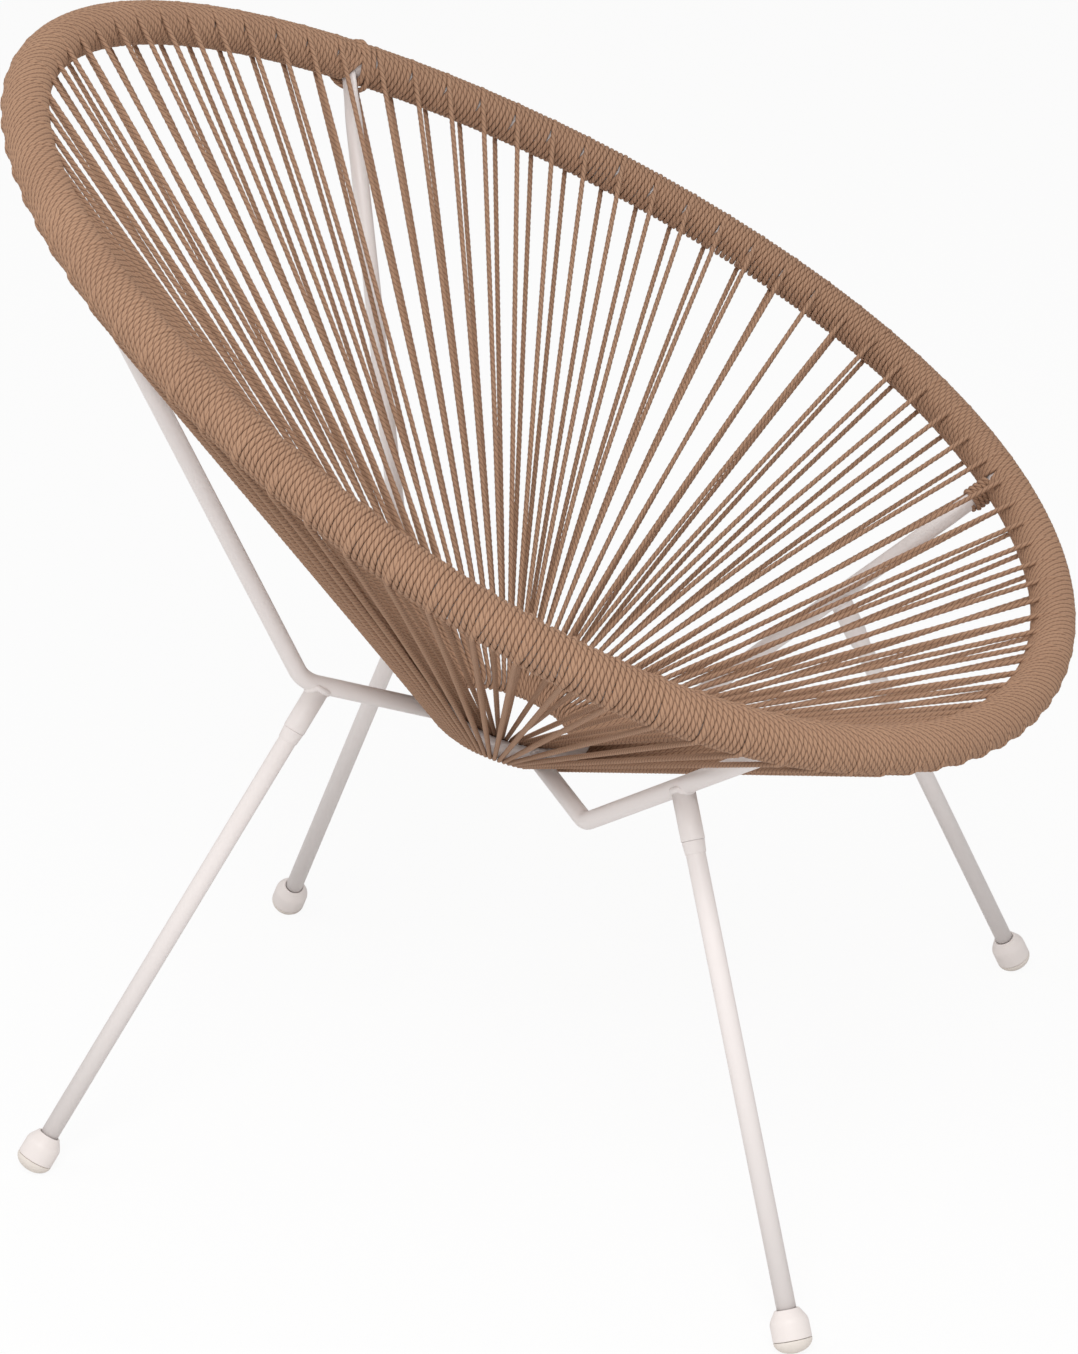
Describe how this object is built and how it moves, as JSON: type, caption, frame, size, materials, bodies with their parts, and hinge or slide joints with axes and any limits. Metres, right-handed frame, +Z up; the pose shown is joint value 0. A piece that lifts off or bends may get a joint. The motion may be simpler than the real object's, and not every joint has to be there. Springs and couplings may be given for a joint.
{
  "type": "lounge chair",
  "caption": "Low lounge chair with an egg-shaped rope-wound rim, rope strung from it to a small hub ring, and a tube frame with four screwed legs.",
  "frame": {"origin": "on the floor, under the middle of the rim's outline", "axes": "+Z up, the sitter faces -Y, +X to the sitter's left"},
  "size_m": [0.7562, 0.6921, 0.7291],
  "materials": {
    "frame_paint": "satin",
    "rope": "matt",
    "zinc": "satin",
    "cap_plastic": "satin",
    "pad_rubber": "matt"
  },
  "bodies": {
    "root": {"rim_hoop": "frame_paint", "hub_ring": "frame_paint", "arm_rear_left": "frame_paint", "arm_binding_rear_left": "rope", "socket_rear_left": "frame_paint", "socket_insert_rear_left": "zinc", "leg_stud_rear_left": "frame_paint", "leg_tube_rear_left": "frame_paint", "foot_cap_rear_left": "cap_plastic", "foot_pad_rear_left": "pad_rubber", "arm_front_left": "frame_paint", "arm_binding_front_left": "rope", "socket_front_left": "frame_paint", "socket_insert_front_left": "zinc", "leg_stud_front_left": "frame_paint", "leg_tube_front_left": "frame_paint", "foot_cap_front_left": "cap_plastic", "foot_pad_front_left": "pad_rubber", "arm_front_right": "frame_paint", "arm_binding_front_right": "rope", "socket_front_right": "frame_paint", "socket_insert_front_right": "zinc", "leg_stud_front_right": "frame_paint", "leg_tube_front_right": "frame_paint", "foot_cap_front_right": "cap_plastic", "foot_pad_front_right": "pad_rubber", "arm_rear_right": "frame_paint", "arm_binding_rear_right": "rope", "socket_rear_right": "frame_paint", "socket_insert_rear_right": "zinc", "leg_stud_rear_right": "frame_paint", "leg_tube_rear_right": "frame_paint", "foot_cap_rear_right": "cap_plastic", "foot_pad_rear_right": "pad_rubber", "rim_winding_left": "rope", "web_left_1": "rope", "web_left_2": "rope", "web_left_3": "rope", "web_left_4": "rope", "web_left_5": "rope", "rim_winding_front": "rope", "web_front_1": "rope", "web_front_2": "rope", "web_front_3": "rope", "web_front_4": "rope", "web_front_5": "rope", "rim_winding_right": "rope", "web_right_1": "rope", "web_right_2": "rope", "web_right_3": "rope", "web_right_4": "rope", "web_right_5": "rope", "rim_winding_back": "rope", "web_back_1": "rope", "web_back_2": "rope", "web_back_3": "rope", "web_back_4": "rope", "web_back_5": "rope"}
  },
  "joints": []
}
